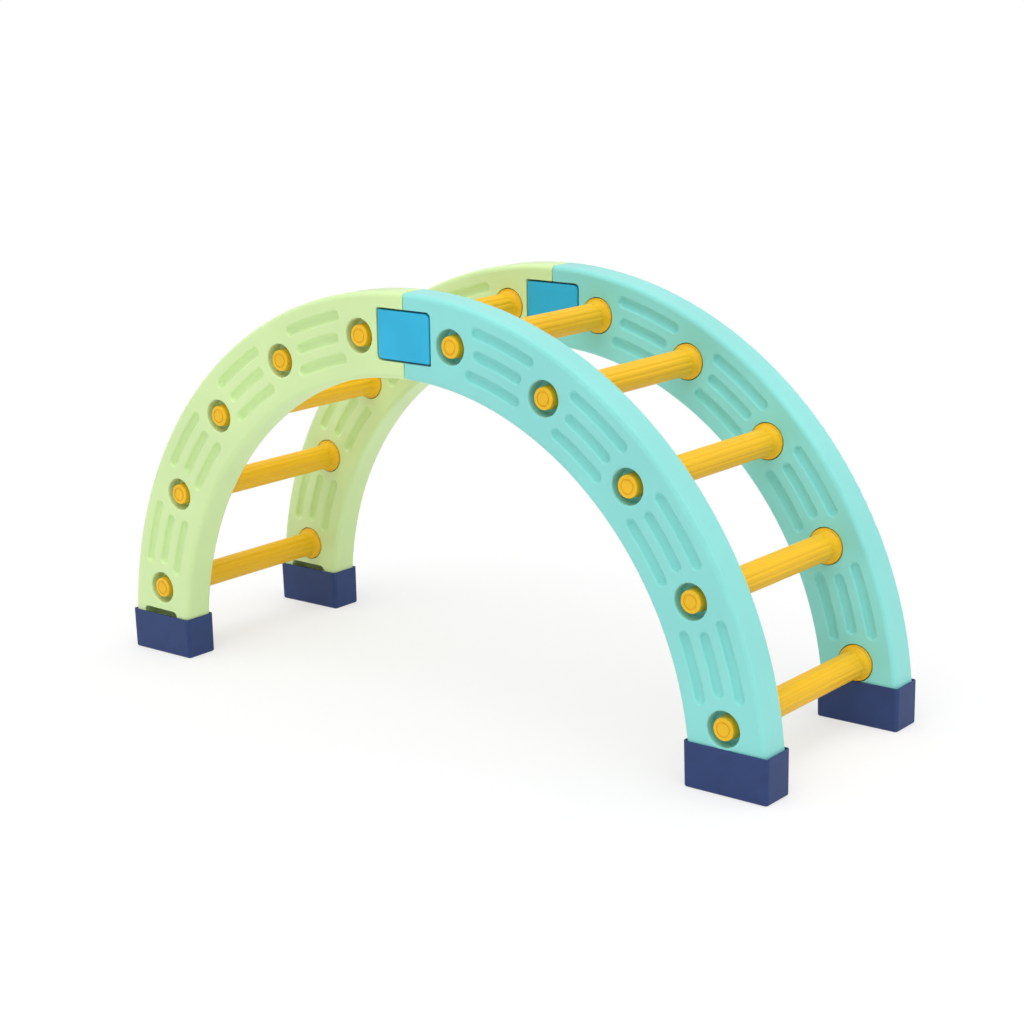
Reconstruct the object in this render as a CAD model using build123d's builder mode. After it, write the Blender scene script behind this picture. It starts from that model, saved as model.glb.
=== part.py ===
from build123d import *
import math
import os

# A climbing arch for small children, made of two quarter-circle ladders keyed together at the crown.
# Lengths are in millimetres and angles in degrees. The arch spans along X, the rungs run along Y,
# Z is up and z = 0 is the floor under the boots. The green quarter stands at -X, the teal one at +X.

# Side rails, each a hollow moulded quarter ring
rail_outer_radius = 560.0
rail_width = 114.0
rail_thickness = 47.0
rail_wall = 3.0
rail_edge_radius = 7.5
rail_end_radius = 1.8
climbing_width = 264.0
rungs_per_quarter = 5
crown_joint_gap = 1.2
foot_flat_depth = 1.7

# Square notches in both ends of a rail, with a web left at mid thickness
notch_height = 69.5
crown_notch_depth = 46.5
foot_notch_depth = 44.5
notch_tight_corner = 2.5
notch_wide_corner = 7.0
notch_edge_chamfer = 0.8
web_thickness = 4.0
web_setback = 11.0

# Finger grooves between the rungs, three to a group on both faces
groove_spacing = 28.5
groove_group_offset = 1.5
outer_groove_length = 107.0
middle_groove_length = 85.0
inner_groove_length = 95.0
groove_bottom_radius = 6.6
groove_lip_radius = 3.6
groove_wall_angle = 74.0
groove_lip_angle = 12.0

# Seats for the rung ends and their screws
recess_radius = 23.2
recess_depth = 20.0
socket_radius = 25.5
socket_depth = 20.0
seat_wall = 3.0
recess_lip_radius = 2.4
socket_lip_radius = 0.5
screw_hole_radius = 9.6

# Rungs
grip_radius = 18.3
rung_wall = 3.6
flute_count = 14
flute_depth = 0.7
flute_cutter_radius = 5.0
flute_end_gap = 3.0
flare_radius = 12.0
flare_outer_radius = 22.0
flange_radius = 24.2
flange_proud = 1.6
flange_edge_radius = 0.8
rung_bore_radius = 9.1
rung_bore_depth = 34.0

# Rung screws
screw_face_radius = 14.3
screw_base_radius = 16.0
screw_face_depth = 0.6
screw_edge_radius = 1.2
screw_ring_radius = 8.9
screw_ring_width = 1.8
screw_ring_depth = 1.0
screw_shank_radius = 9.0
screw_shank_reach = 30.0
screw_tip_chamfer = 1.5

# Crown keys
key_gap_across = 2.7
key_gap_along = 2.6
key_face_inset = 0.3
key_edge_radius = 1.0
key_slot_clearance = 0.5

# Boots
boot_height = 59.0
boot_floor = 3.2
boot_wall = 2.2
boot_clearance = 0.3
boot_draft_angle = 0.5
boot_corner_radius = 5.0
boot_bottom_radius = 3.0
boot_rib_thickness = 3.0
boot_rib_clearance = 1.0

# The green rails sit this much higher in their boots than the teal ones, so the arch leans a little
green_lift = 17.8

# Sizes that follow from these
rail_inner_radius = rail_outer_radius - rail_width
mid_radius = rail_outer_radius - rail_width / 2
foot_flat_radius = rail_outer_radius - foot_flat_depth
rail_centre_y = (climbing_width + rail_thickness) / 2
rung_pitch = 90 / rungs_per_quarter
lean = math.degrees(math.asin(green_lift / (2 * mid_radius)))
slope = math.sin(math.radians(lean))
arch_centre_height = boot_floor + boot_clearance + foot_flat_radius * slope

# The arch is drawn level about its own centre and then set down in its boots
arch_place = Location((0, 0, arch_centre_height), (0, lean, 0))
around_arch = Axis((0, 0, 0), (0, -1, 0))

os.makedirs("parts", exist_ok=True)


def save(piece, name, place):
    """Sets a finished piece down in its place, names it and writes it."""
    placed = piece.moved(place)
    placed.label = name
    export_step(placed, f"parts/{name}.step")


# A finger groove: a soft-edged channel bent round the arch, with a bowl at each end
groove_lip = math.radians(groove_lip_angle)
groove_side = math.radians(groove_wall_angle)
groove_foot_rise = groove_bottom_radius * (1 - math.cos(groove_side))
groove_lip_rise = groove_lip_radius * (math.cos(groove_lip) - math.cos(groove_side))
groove_depth = groove_foot_rise + groove_lip_rise
groove_reach = groove_bottom_radius + groove_lip_radius
groove_half_width = groove_reach * math.sin(groove_side) - groove_lip_radius * math.sin(groove_lip)


def half_groove(radius):
    """Half of a groove's section: x is outwards from the arch's axis, y is out of the rail's face."""
    face = rail_thickness / 2
    bottom = Vector(radius, face - groove_depth)
    bottom_centre = bottom + Vector(0, groove_bottom_radius)
    foot = bottom_centre + Vector(math.sin(groove_side), -math.cos(groove_side)) * groove_bottom_radius
    lip_centre = foot + Vector(math.sin(groove_side), -math.cos(groove_side)) * groove_lip_radius
    rim = lip_centre + Vector(-math.sin(groove_lip), math.cos(groove_lip)) * groove_lip_radius
    half_side = groove_side / 2
    half_lip = (groove_side + groove_lip) / 2
    bottom_middle = bottom_centre + Vector(math.sin(half_side), -math.cos(half_side)) * groove_bottom_radius
    lip_middle = lip_centre + Vector(-math.sin(half_lip), math.cos(half_lip)) * groove_lip_radius
    with BuildSketch() as section:
        with BuildLine():
            Polyline(bottom, (radius, face + rail_wall), (rim.X, face + rail_wall), rim)
            ThreePointArc(rim, lip_middle, foot)
            ThreePointArc(foot, bottom_middle, bottom)
        make_face()
    return section.sketch


def radial_plane(angle):
    """The plane through the arch's axis at this angle, with x outwards and y out of the outer face."""
    turn = math.radians(angle)
    outwards = (math.cos(turn), 0, math.sin(turn))
    along = (math.sin(turn), 0, -math.cos(turn))
    return Plane((0, 0, 0), x_dir=outwards, z_dir=along)


def finger_groove(radius, middle_angle, length):
    """The cutter for one groove on the outer face."""
    section = half_groove(radius)
    half_angle = math.degrees((length / 2 - groove_half_width) / radius)
    with BuildPart() as cutter:
        with BuildSketch(radial_plane(middle_angle - half_angle)):
            add(section)
            mirror(about=Plane.YZ.offset(radius))
        revolve(axis=around_arch, revolution_arc=2 * half_angle)
        for end_angle, spin in ((middle_angle - half_angle, 1), (middle_angle + half_angle, -1)):
            turn = math.radians(end_angle)
            with BuildSketch(radial_plane(end_angle)):
                add(section)
            bowl_axis = Axis((radius * math.cos(turn), 0, radius * math.sin(turn)), (0, spin, 0))
            revolve(axis=bowl_axis, revolution_arc=180)
    return cutter.part


def groove_cutters():
    """The cutters for every groove on the outer face of a rail."""
    groove_middle = mid_radius + groove_group_offset
    cutters = []
    for gap in range(1, rungs_per_quarter):
        angle = gap * rung_pitch
        cutters.append(finger_groove(groove_middle + groove_spacing, angle, outer_groove_length))
        cutters.append(finger_groove(groove_middle, angle, middle_groove_length))
        cutters.append(finger_groove(groove_middle - groove_spacing, angle, inner_groove_length))
    return cutters


# Side rails, drawn as the teal front one: at +X, its outer face to -Y, centred on the XZ plane
outer_face = Plane.XZ.offset(rail_thickness / 2)
inner_face = Plane((0, rail_thickness / 2, 0), x_dir=(0, 0, 1), z_dir=(0, 1, 0))


def seat_middles():
    """The middles of the rung seats along a rail."""
    return PolarLocations(mid_radius, rungs_per_quarter, rung_pitch / 2, 90 - rung_pitch, endpoint=True)


def rail_cavity():
    """The air space inside a rail, which leaves a wall round each seat, notch and end."""
    with BuildPart() as cavity:
        with BuildSketch(Plane.XY):
            with Locations((mid_radius, 0)):
                cavity_thickness = rail_thickness - 2 * (rail_wall + groove_depth)
                RectangleRounded(rail_width - 2 * rail_wall, cavity_thickness, rail_edge_radius - rail_wall)
        revolve(axis=around_arch, revolution_arc=90)
        split(bisect_by=Plane.XY.offset(rail_wall), keep=Keep.TOP)
        split(bisect_by=Plane.YZ.offset(crown_joint_gap / 2 + rail_wall), keep=Keep.TOP)
        split(bisect_by=Plane.YZ.offset(foot_flat_radius - rail_wall), keep=Keep.BOTTOM)
        with BuildSketch(Plane.XZ):
            with seat_middles():
                Circle(max(recess_radius, socket_radius) + seat_wall)
            with Locations((0, mid_radius)):
                Rectangle(2 * (crown_notch_depth + rail_wall), notch_height + 2 * rail_wall)
            with Locations((mid_radius, 0)):
                Rectangle(notch_height + 2 * rail_wall, 2 * (foot_notch_depth + rail_wall))
        extrude(amount=rail_thickness, both=True, mode=Mode.SUBTRACT)
    return cavity.part


def rail_blank():
    """A rail with its seats, grooves and cavity, before the notches are cut."""
    cutters = groove_cutters()
    cavity = rail_cavity()
    with BuildPart() as blank:
        with BuildSketch(Plane.XY):
            with Locations((mid_radius, 0)):
                RectangleRounded(rail_width, rail_thickness, rail_edge_radius)
        revolve(axis=around_arch, revolution_arc=90)
        split(bisect_by=Plane.YZ.offset(crown_joint_gap / 2), keep=Keep.TOP)
        fillet(blank.faces().sort_by(Axis.X)[0].edges(), rail_end_radius)
        fillet(blank.faces().sort_by(Axis.Z)[0].edges(), rail_end_radius)
        split(bisect_by=Plane.YZ.offset(foot_flat_radius), keep=Keep.BOTTOM)
        with Locations(outer_face):
            with seat_middles():
                CounterBoreHole(screw_hole_radius, recess_radius, recess_depth)
        with Locations(inner_face):
            with seat_middles():
                Hole(socket_radius, depth=socket_depth)
        for outer_or_inner, lip_radius in ((0, recess_lip_radius), (-1, socket_lip_radius)):
            seat_face = blank.faces().filter_by(Plane.XZ).sort_by(Axis.Y)[outer_or_inner]
            fillet(seat_face.inner_wires().edges(), lip_radius)
        add(cutters, mode=Mode.SUBTRACT)
        mirror(cutters, about=Plane.XZ, mode=Mode.SUBTRACT)
        add(cavity, mode=Mode.SUBTRACT)
    return blank.part


def notch_outline(depth, upper_corner, lower_corner):
    """A notch seen from outside: it runs in along x and is drawn as far again past the rail's end."""
    with BuildSketch() as outline:
        Rectangle(2 * depth, notch_height)
        fillet(outline.vertices().group_by(Axis.X)[-1].sort_by(Axis.Y)[0], lower_corner)
        fillet(outline.vertices().group_by(Axis.X)[-1].sort_by(Axis.Y)[-1], upper_corner)
    return outline.sketch


def finished_rail(blank, crown_upper_corner, crown_lower_corner):
    """A rail with its crown notch and its foot notch cut."""
    crown_notch = notch_outline(crown_notch_depth, crown_upper_corner, crown_lower_corner)
    foot_notch = notch_outline(foot_notch_depth, notch_wide_corner, notch_wide_corner)
    crown_end = Location((0, mid_radius))
    foot_end = Location((mid_radius, 0), 90)
    with BuildPart() as rail:
        add(blank)
        for end, notch in ((crown_end, crown_notch), (foot_end, foot_notch)):
            for way in (1, -1):
                with BuildSketch(Plane.XZ.offset(way * web_thickness / 2)):
                    with Locations(end):
                        add(notch)
                extrude(amount=way * rail_thickness, mode=Mode.SUBTRACT)
                with BuildSketch(Plane.XZ.offset(way * rail_thickness / 2)):
                    with Locations(end):
                        add(notch)
                    offset(amount=notch_edge_chamfer)
                extrude(amount=-way * notch_edge_chamfer, taper=45, mode=Mode.SUBTRACT)
            with BuildSketch(Plane.XZ):
                with Locations(end):
                    Rectangle(2 * web_setback, notch_height)
            extrude(amount=web_thickness, both=True, mode=Mode.SUBTRACT)
    return rail.part


plain_rail = rail_blank()
teal_rail = finished_rail(plain_rail, notch_wide_corner, notch_tight_corner)
green_rail = mirror(finished_rail(plain_rail, notch_tight_corner, notch_wide_corner), about=Plane.YZ)
front_rails = Location((0, -rail_centre_y, 0))
back_rails = Location((0, rail_centre_y, 0))
for colour, rail in (("green", green_rail), ("teal", teal_rail)):
    save(rail, f"{colour}_front_rail", arch_place * front_rails)
    save(mirror(rail, about=Plane.XZ), f"{colour}_back_rail", arch_place * back_rails)

# Rungs: hollow fluted tubes that flare into a flange at both ends and plug into the rails' sockets
flange_y = climbing_width / 2 - flange_proud
rung_end_y = climbing_width / 2 + socket_depth
flare_angle = math.acos(1 - (flare_outer_radius - grip_radius) / flare_radius)
flare_start_y = flange_y - flare_radius * math.sin(flare_angle)
flare_middle = (grip_radius + flare_radius * (1 - math.cos(flare_angle / 2)),
                flare_start_y + flare_radius * math.sin(flare_angle / 2))

with BuildPart() as rung:
    with BuildSketch(Plane.XY):
        with BuildLine():
            Polyline((grip_radius, flare_start_y), (grip_radius, 0), (grip_radius - rung_wall, 0),
                     (grip_radius - rung_wall, rung_end_y - rung_bore_depth),
                     (rung_bore_radius, rung_end_y - rung_bore_depth), (rung_bore_radius, rung_end_y),
                     (flange_radius, rung_end_y), (flange_radius, flange_y), (flare_outer_radius, flange_y))
            ThreePointArc((flare_outer_radius, flange_y), flare_middle, (grip_radius, flare_start_y))
        make_face()
        mirror(about=Plane.XZ)
    revolve(axis=Axis.Y)
    flange_rims = rung.edges().filter_by(GeomType.CIRCLE).group_by(SortBy.RADIUS)[-1]
    fillet(flange_rims.sort_by(lambda rim: abs(rim.center().Y))[:2], flange_edge_radius)
    with BuildSketch(Plane.XZ):
        with PolarLocations(grip_radius - flute_depth + flute_cutter_radius, flute_count):
            Circle(flute_cutter_radius)
    extrude(amount=flare_start_y - flute_end_gap, both=True, mode=Mode.SUBTRACT)

# Rung screws: a round head in the rail's recess and a shank through the rail into the rung
head_length = recess_depth - screw_face_depth
shank_length = rail_thickness - recess_depth - socket_depth + screw_shank_reach
ring_inside = screw_ring_radius - screw_ring_width / 2
ring_outside = screw_ring_radius + screw_ring_width / 2
ring_floor = screw_ring_depth - head_length

with BuildPart() as screw:
    with BuildSketch(Plane.XY):
        with BuildLine():
            Polyline((0, -head_length), (ring_inside, -head_length), (ring_inside, ring_floor),
                     (ring_outside, ring_floor), (ring_outside, -head_length),
                     (screw_face_radius, -head_length), (screw_base_radius, 0), (screw_shank_radius, 0),
                     (screw_shank_radius, shank_length), (0, shank_length), close=True)
        make_face()
    revolve(axis=Axis.Y)
    face_edges = screw.edges().filter_by(GeomType.CIRCLE).group_by(Axis.Y)[0]
    fillet(face_edges.sort_by(SortBy.RADIUS)[-1], screw_edge_radius)
    chamfer(screw.edges().filter_by(GeomType.CIRCLE).group_by(Axis.Y)[-1], screw_tip_chamfer)

front_screw_y = -climbing_width / 2 - rail_thickness + recess_depth
for colour, start_angle, way in (("green", 180, -1), ("teal", 0, 1)):
    for number in range(1, rungs_per_quarter + 1):
        angle = start_angle + way * rung_pitch * (number - 0.5)
        seat_x = mid_radius * math.cos(math.radians(angle))
        seat_z = mid_radius * math.sin(math.radians(angle))
        rung_place = Location((seat_x, 0, seat_z), (0, -angle, 0))
        front_screw_place = Location((seat_x, front_screw_y, seat_z))
        back_screw_place = Location((seat_x, -front_screw_y, seat_z), (0, 0, 180))
        save(rung.part, f"{colour}_rung_{number}", arch_place * rung_place)
        save(screw.part, f"{colour}_front_screw_{number}", arch_place * front_screw_place)
        save(screw.part, f"{colour}_back_screw_{number}", arch_place * back_screw_place)

# Crown keys: blocks that fill the two notches at each side of the crown and straddle the rails' webs
with BuildPart() as key:
    with BuildSketch(Plane.XZ) as key_face:
        with Locations((0, mid_radius)):
            Rectangle(2 * (crown_notch_depth - key_gap_along), notch_height - 2 * key_gap_across)
        fillet(key_face.vertices().group_by(Axis.Y)[0].sort_by(Axis.X)[0], notch_wide_corner)
        fillet(key_face.vertices().group_by(Axis.Y)[0].sort_by(Axis.X)[-1], notch_tight_corner)
        fillet(key_face.vertices().group_by(Axis.Y)[-1].sort_by(Axis.X)[0], notch_tight_corner)
        fillet(key_face.vertices().group_by(Axis.Y)[-1].sort_by(Axis.X)[-1], notch_wide_corner)
    extrude(amount=rail_thickness / 2 - key_face_inset, both=True)
    fillet(key.faces().sort_by(Axis.Y)[0].edges(), key_edge_radius)
    fillet(key.faces().sort_by(Axis.Y)[-1].edges(), key_edge_radius)
    with BuildSketch(Plane.XZ):
        for way, slot_align in ((1, Align.MIN), (-1, Align.MAX)):
            with Locations((way * (web_setback - key_slot_clearance), mid_radius)):
                Rectangle(crown_notch_depth, notch_height, align=(slot_align, Align.CENTER))
    extrude(amount=web_thickness / 2 + key_slot_clearance, both=True, mode=Mode.SUBTRACT)

save(key.part, "front_crown_key", arch_place * front_rails)
save(key.part, "back_crown_key", arch_place * back_rails)

# Boots: drafted caps on the rails' feet, drawn for a teal foot with +X away from the arch's middle
boot_reach = boot_height - boot_floor - boot_clearance
green_reach = boot_reach - green_lift
teal_inside = math.sqrt(rail_inner_radius ** 2 - boot_reach ** 2) + boot_reach * slope
green_inside = math.sqrt(rail_inner_radius ** 2 - green_reach ** 2) - green_reach * slope
pocket_inside = min(teal_inside, green_inside) - boot_clearance
pocket_outside = foot_flat_radius + boot_reach * slope + boot_clearance
pocket_length = pocket_outside - pocket_inside
pocket_width = rail_thickness + 2 * boot_clearance
boot_centre_x = (pocket_inside + pocket_outside) / 2
boot_side = boot_wall - boot_height * math.tan(math.radians(boot_draft_angle))

with BuildPart() as boot:
    with BuildSketch(Plane.XY):
        RectangleRounded(pocket_length + 2 * boot_side, pocket_width + 2 * boot_side, boot_corner_radius)
    extrude(amount=boot_height, taper=-boot_draft_angle)
    fillet(boot.faces().sort_by(Axis.Z)[0].edges(), boot_bottom_radius)
    with BuildSketch(Plane.XY.offset(boot_floor)):
        RectangleRounded(pocket_length, pocket_width, boot_corner_radius - boot_wall)
    extrude(amount=boot_height, mode=Mode.SUBTRACT)
    rib_spread = notch_height / 2 - boot_rib_clearance - boot_rib_thickness / 2
    rib_inner_y = web_thickness / 2 + boot_rib_clearance
    rib_outer_y = pocket_width / 2 + boot_side / 2
    with BuildSketch(Plane.XY.offset(boot_floor)):
        with Locations((mid_radius - boot_centre_x, 0)):
            with GridLocations(2 * rib_spread, rib_inner_y + rib_outer_y, 2, 2):
                Rectangle(boot_rib_thickness, rib_outer_y - rib_inner_y)
    extrude(amount=foot_notch_depth - notch_wide_corner - boot_rib_clearance)

for side, y in (("front", -rail_centre_y), ("back", rail_centre_y)):
    save(boot.part, f"teal_{side}_boot", Location((boot_centre_x, y, 0)))
    save(boot.part, f"green_{side}_boot", Location((-boot_centre_x, y, 0), (0, 0, 180)))
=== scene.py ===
import math

import bpy
from mathutils import Matrix, Vector

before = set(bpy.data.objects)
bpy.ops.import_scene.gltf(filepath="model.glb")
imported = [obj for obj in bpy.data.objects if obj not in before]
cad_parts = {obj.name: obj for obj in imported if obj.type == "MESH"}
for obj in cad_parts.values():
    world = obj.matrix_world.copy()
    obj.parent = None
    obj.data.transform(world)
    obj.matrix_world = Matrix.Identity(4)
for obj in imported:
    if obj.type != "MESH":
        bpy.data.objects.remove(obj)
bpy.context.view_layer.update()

# Camera: a studio camera at a child's eye level, in front of the arch and to its right. It looks slightly
# down, and its lens and viewing angle are the photograph's.
lens_mm = 72.2
camera_place = Vector((1.7795, -2.112, 0.9241))
camera_turn = math.radians(39.56)
camera_tilt = math.radians(-13.81)
camera_roll = math.radians(-1.59)

camera_data = bpy.data.cameras.new("camera")
camera_data.lens = lens_mm
camera_data.sensor_width = 36
camera = bpy.data.objects.new("camera", camera_data)
aim = Matrix.Rotation(camera_turn, 4, "Z") @ Matrix.Rotation(math.pi / 2 + camera_tilt, 4, "X")
camera.matrix_world = Matrix.Translation(camera_place) @ aim @ Matrix.Rotation(camera_roll, 4, "Z")
bpy.context.scene.collection.objects.link(camera)
bpy.context.scene.camera = camera


# Side rails: four hollow quarter rings, blow moulded in polyethylene, two of them lime green and two pale
# teal. The mould leaves a satin skin with a very fine grain, a little waviness over the hollow walls, and a
# thin parting line along the middle of the outer and inner rims.
class Wire:
    """A value on its way between nodes, so that a finish reads as a sum."""

    def __init__(self, finish, socket):
        self.finish = finish
        self.socket = socket

    def math(self, operation, *values):
        return self.finish.node("ShaderNodeMath", {"operation": operation}, dict(enumerate(values)))

    def __add__(self, other):
        return self.math("ADD", self, other)

    def __radd__(self, other):
        return self.math("ADD", other, self)

    def __sub__(self, other):
        return self.math("SUBTRACT", self, other)

    def __rsub__(self, other):
        return self.math("SUBTRACT", other, self)

    def __mul__(self, other):
        return self.math("MULTIPLY", self, other)

    def __rmul__(self, other):
        return self.math("MULTIPLY", other, self)

    def __pow__(self, power):
        return self.math("POWER", self, power)

    def __abs__(self):
        return self.math("ABSOLUTE", self)


class Finish:
    """The nodes of one material, or of the room: one method adds a node, and values are written as sums."""

    def __init__(self, owner):
        owner.use_nodes = True
        self.owner = owner
        self.tree = owner.node_tree

    def feed(self, target, value):
        if isinstance(value, Wire):
            self.tree.links.new(value.socket, target)
        else:
            target.default_value = value

    def node(self, kind, settings=None, inputs=None, output=0):
        made = self.tree.nodes.new(kind)
        for key, value in (settings or {}).items():
            setattr(made, key, value)
        for key, value in (inputs or {}).items():
            self.feed(made.inputs[key], value)
        return Wire(self, made.outputs[output])

    def place(self):
        return self.node("ShaderNodeTexCoord", output="Object")

    def along(self, axis, vector=None):
        return self.node("ShaderNodeSeparateXYZ", None, {"Vector": vector or self.place()}, axis)

    def stretched(self, scale):
        inputs = {"Vector": self.place(), "Scale": scale}
        return self.node("ShaderNodeMapping", {"vector_type": "POINT"}, inputs)

    def noise(self, scale, detail=2.0, roughness=0.5, vector=None):
        inputs = {"Vector": vector or self.place(), "Scale": scale, "Detail": detail, "Roughness": roughness}
        return self.node("ShaderNodeTexNoise", {"noise_dimensions": "3D"}, inputs, "Fac")

    def fine_grain(self, scale, detail=3.0, roughness=0.6):
        return self.noise(scale, detail, roughness)

    def broad_waves(self, scale, detail=1.0):
        return self.noise(scale, detail)

    def step(self, value, low, high):
        inputs = {"Value": value, "From Min": low, "From Max": high}
        return self.node("ShaderNodeMapRange", {"interpolation_type": "SMOOTHSTEP"}, inputs)

    def drift(self, pattern, low=0.3, high=0.7):
        """A pattern drawn out until it reaches both shades of a colour."""
        return self.step(pattern, low, high)

    def shades(self, share, colour, deep, pale):
        """A colour that drifts between a deeper and a paler shade of itself."""
        deeper = [channel * deep for channel in colour] + [1.0]
        paler = [channel * pale for channel in colour] + [1.0]
        return self.node("ShaderNodeMix", {"data_type": "RGBA"}, {0: share, 6: deeper, 7: paler}, 2)

    def bump(self, height, distance):
        return self.node("ShaderNodeBump", None, {"Height": height, "Distance": distance})

    def surface(self, **inputs):
        shader = self.tree.nodes["Principled BSDF"]
        for key, value in inputs.items():
            self.feed(shader.inputs[key.replace("_", " ")], value)
        return self.owner


def dress(nodes, material):
    for node in nodes:
        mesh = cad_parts[node].data
        mesh.materials.clear()
        mesh.materials.append(material)


rail_centre = 0.1555
parting_line_half_width = 0.0004
parting_line_edge = 0.0005
parting_line_height = 0.00022
grain_scale = 1300.0
grain_depth = 0.00006
grain_gloss = 0.12
rail_wave_scale = 22.0
wave_depth = 0.0005
rail_drift_scale = 6.0
rail_roughness = 0.38


def rail_plastic(name, colour):
    """Satin moulded skin over a hollow wall, with the parting line at the rail's mid thickness."""
    finish = Finish(bpy.data.materials.new(name))
    drift = finish.drift(finish.noise(rail_drift_scale))
    grain = finish.fine_grain(grain_scale)
    waves = finish.broad_waves(rail_wave_scale)
    from_parting = abs(abs(finish.along("Y")) - rail_centre)
    parting_line_end = parting_line_half_width + parting_line_edge
    parting = 1 - finish.step(from_parting, parting_line_half_width, parting_line_end)
    height = grain * grain_depth + waves * wave_depth + parting * parting_line_height
    return finish.surface(
        Base_Color=finish.shades(drift, colour, deep=0.97, pale=1.03),
        Roughness=rail_roughness + grain * grain_gloss,
        Specular_IOR_Level=0.35,
        Sheen_Weight=0.35,
        Sheen_Roughness=0.4,
        Normal=finish.bump(height, 1.0),
    )


lime = (0.665, 0.865, 0.415)
pale_teal = (0.265, 0.735, 0.690)
dress(("green_front_rail", "green_back_rail"), rail_plastic("lime_rail", lime))
dress(("teal_front_rail", "teal_back_rail"), rail_plastic("teal_rail", pale_teal))


# Rungs: yellow plastic tubes with shallow lengthwise flutes, drawn through a die, so faint streaks run along
# them. Each end flares into a flange in the rail's socket.
warm_yellow = (0.905, 0.520, 0.012)
streak_scale = 260.0
streak_stretch = (1.0, 0.012, 1.0)
streak_depth = 0.00012
streak_weight = 0.7
streak_gloss = 0.1
streak_low = 0.32
streak_high = 0.68
rung_drift_scale = 9.0
rung_grain_scale = 1500.0
rung_grain_depth = 0.00003
rung_roughness = 0.40

rung_finish = Finish(bpy.data.materials.new("yellow_rung"))
streaks = rung_finish.noise(streak_scale, roughness=0.6, vector=rung_finish.stretched(streak_stretch))
rung_drift = rung_finish.noise(rung_drift_scale)
rung_grain = rung_finish.noise(rung_grain_scale)
streak_share = streaks * streak_weight + rung_drift * (1 - streak_weight)
rung_shade = rung_finish.step(streak_share, streak_low, streak_high)
rung_height = streaks * streak_depth + rung_grain * rung_grain_depth
yellow_rung = rung_finish.surface(
    Base_Color=rung_finish.shades(rung_shade, warm_yellow, deep=0.94, pale=1.04),
    Roughness=rung_roughness + streaks * streak_gloss,
    Specular_IOR_Level=0.3,
    Normal=rung_finish.bump(rung_height, 1.0),
)
dress([f"{colour}_rung_{number}" for colour in ("green", "teal") for number in range(1, 6)], yellow_rung)

# Rung screws: yellow moulded heads, deep in the rails' recesses, with a ring groove for the tool. They hold
# the rungs to the rails, and have a slightly coarser grain than the rungs.
screw_grain_scale = 1100.0
screw_grain_depth = 0.00008
screw_drift_scale = 30.0
screw_roughness = 0.36

screw_finish = Finish(bpy.data.materials.new("yellow_screw"))
screw_grain = screw_finish.fine_grain(screw_grain_scale)
screw_drift = screw_finish.drift(screw_finish.noise(screw_drift_scale))
yellow_screw = screw_finish.surface(
    Base_Color=screw_finish.shades(screw_drift, warm_yellow, deep=0.95, pale=1.02),
    Roughness=screw_roughness + screw_grain * grain_gloss,
    Specular_IOR_Level=0.3,
    Normal=screw_finish.bump(screw_grain * screw_grain_depth, 1.0),
)
dress([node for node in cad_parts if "_screw_" in node], yellow_screw)

# Crown keys: bright blue moulded blocks that fill the two notches where the quarters meet. Their wide flat
# faces sink in very slightly, as thick mouldings do.
sky_blue = (0.021, 0.465, 0.745)
sink_scale = 18.0
sink_depth = 0.0006
key_drift_scale = 12.0
key_roughness = 0.34

key_finish = Finish(bpy.data.materials.new("blue_key"))
key_grain = key_finish.fine_grain(grain_scale)
key_waves = key_finish.broad_waves(sink_scale)
key_drift = key_finish.drift(key_finish.noise(key_drift_scale))
key_height = key_grain * grain_depth + key_waves * sink_depth
blue_key = key_finish.surface(
    Base_Color=key_finish.shades(key_drift, sky_blue, deep=0.96, pale=1.04),
    Roughness=key_roughness + key_grain * grain_gloss,
    Specular_IOR_Level=0.35,
    Normal=key_finish.bump(key_height, 1.0),
)
dress(("front_crown_key", "back_crown_key"), blue_key)

# Boots: navy caps of a softer plastic on the rails' feet, so that the arch doesn't slip or mark the floor.
# They have a duller, slightly mottled skin.
navy = (0.019, 0.045, 0.160)
boot_grain_scale = 900.0
boot_grain_depth = 0.0001
boot_grain_gloss = 0.14
boot_wave_scale = 24.0
mottle_scale = 45.0
boot_roughness = 0.46

boot_finish = Finish(bpy.data.materials.new("navy_boot"))
boot_grain = boot_finish.fine_grain(boot_grain_scale)
boot_waves = boot_finish.broad_waves(boot_wave_scale)
boot_mottle = boot_finish.drift(boot_finish.noise(mottle_scale, detail=4.0, roughness=0.6))
boot_height = boot_grain * boot_grain_depth + boot_waves * wave_depth
navy_boot = boot_finish.surface(
    Base_Color=boot_finish.shades(boot_mottle, navy, deep=0.94, pale=1.06),
    Roughness=boot_roughness + boot_grain * boot_grain_gloss,
    Specular_IOR_Level=0.35,
    Normal=boot_finish.bump(boot_height, 1.0),
)
dress([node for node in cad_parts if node.endswith("_boot")], navy_boot)

# Floor: white studio paper that runs out of sight. It keeps the arch's soft shadow, and brightens to plain
# white a few steps away from it.
floor_half = 30.0
paper_white = 0.9
shadow_share = 0.45
paper_fade_start = 0.7
paper_fade_end = 1.6

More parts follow.
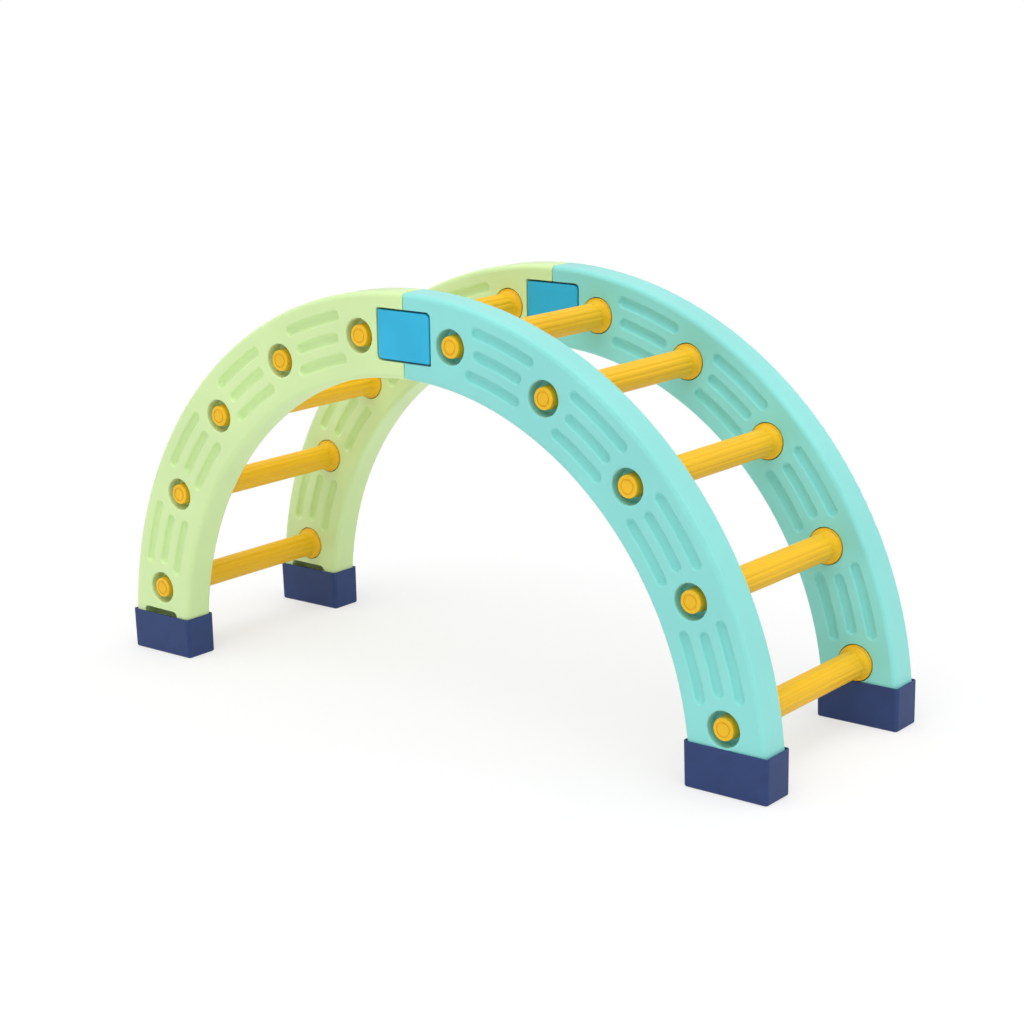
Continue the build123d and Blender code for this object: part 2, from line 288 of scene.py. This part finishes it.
bpy.ops.mesh.primitive_plane_add(size=2 * floor_half)
floor = bpy.context.object
floor.name = "studio_floor"
paper = Finish(bpy.data.materials.new("studio_paper"))
seen = paper.node("ShaderNodeLightPath", output="Is Camera Ray")
mirrored = paper.node("ShaderNodeLightPath", output="Is Glossy Ray")
from_middle = paper.node("ShaderNodeVectorMath", {"operation": "LENGTH"}, {0: paper.place()}, "Value")
far = paper.step(from_middle, paper_fade_start, paper_fade_end)
lit = paper.node("ShaderNodeBsdfDiffuse", None, {"Color": (paper_white, paper_white, paper_white, 1.0)})
glow = paper.node("ShaderNodeEmission", None, {"Color": (1.0, 1.0, 1.0, 1.0), "Strength": 1.0})
glow_share = (seen + mirrored) * (1 - shadow_share + far * shadow_share)
blend = paper.node("ShaderNodeMixShader", None, {0: glow_share, 1: lit, 2: glow})
paper.feed(paper.tree.nodes["Material Output"].inputs["Surface"], blend)
floor.data.materials.append(paper.owner)

# Light: one broad soft ceiling, brightest overhead and a little towards the camera, in a white room.
ceiling_lean = Vector((0.19, -0.23, 1.0)).normalized()
room_light = 0.28
ceiling_light = 2.3
ceiling_focus = 3.0

studio = bpy.data.worlds.new("studio")
bpy.context.scene.world = studio
room = Finish(studio)
straight = room.node("ShaderNodeLightPath", output="Is Camera Ray")
reflected = room.node("ShaderNodeLightPath", output="Is Glossy Ray")
direction = room.node("ShaderNodeTexCoord", output="Generated")
towards_ceiling = {0: direction, 1: ceiling_lean}
overhead = room.node("ShaderNodeVectorMath", {"operation": "DOT_PRODUCT"}, towards_ceiling, "Value")
brightness = room_light + overhead.math("MAXIMUM", overhead, 0.0) ** ceiling_focus * ceiling_light
lighting = room.node("ShaderNodeBackground", None, {"Color": (1.0, 1.0, 1.0, 1.0), "Strength": brightness})
backdrop = room.node("ShaderNodeBackground", None, {"Color": (1.0, 1.0, 1.0, 1.0), "Strength": 1.0})
shown = room.node("ShaderNodeMixShader", None, {0: straight + reflected, 1: lighting, 2: backdrop})
room.feed(room.tree.nodes["World Output"].inputs["Surface"], shown)

bpy.context.scene.view_settings.view_transform = "Standard"
